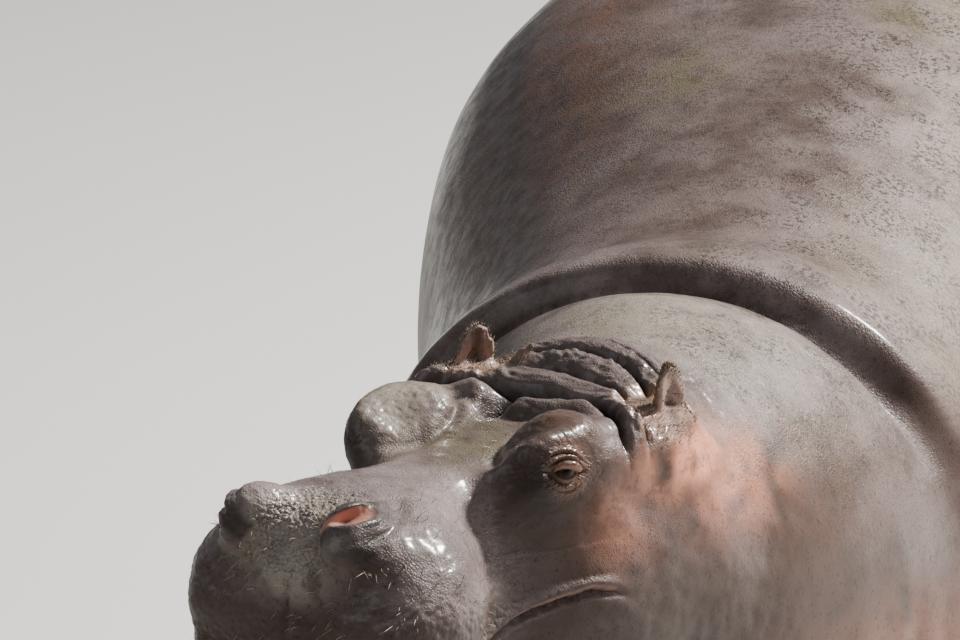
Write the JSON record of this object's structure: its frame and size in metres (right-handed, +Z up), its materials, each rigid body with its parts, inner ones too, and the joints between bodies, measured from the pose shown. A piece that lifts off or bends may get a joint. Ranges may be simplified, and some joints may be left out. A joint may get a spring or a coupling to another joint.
{
  "type": "hippopotamus",
  "caption": "Life-size standing hippopotamus with a broad muzzle, raised eyes and nostrils and its head turned to one side, as a still display model.",
  "frame": {"origin": "middle of the whole animal's box, on the floor under it", "axes": "+Z up; the trunk lies along Y and faces -Y; +X is the animal's left"},
  "size_m": [1.2826, 3.5452, 1.4245],
  "materials": {
    "hide": "wet, dark grey-brown hide, finely wrinkled, pinker on the cheeks and in the folds",
    "ear": "thin tan-brown skin with a pink hollow and a fringe of short hair",
    "eye": "wet dark brown eye",
    "nail": "worn dark horn"
  },
  "bodies": {
    "root": {"ear_left": "ear", "ear_right": "ear", "eye_left": "eye", "eye_right": "eye", "fore_leg_left": "hide", "fore_leg_right": "hide", "fore_nail_left_1": "nail", "fore_nail_left_2": "nail", "fore_nail_left_3": "nail", "fore_nail_left_4": "nail", "fore_nail_right_1": "nail", "fore_nail_right_2": "nail", "fore_nail_right_3": "nail", "fore_nail_right_4": "nail", "head": "hide", "hind_leg_left": "hide", "hind_leg_right": "hide", "hind_nail_left_1": "nail", "hind_nail_left_2": "nail", "hind_nail_left_3": "nail", "hind_nail_left_4": "nail", "hind_nail_right_1": "nail", "hind_nail_right_2": "nail", "hind_nail_right_3": "nail", "hind_nail_right_4": "nail", "lower_jaw": "hide", "neck": "hide", "tail": "hide", "trunk": "hide"}
  },
  "joints": []
}
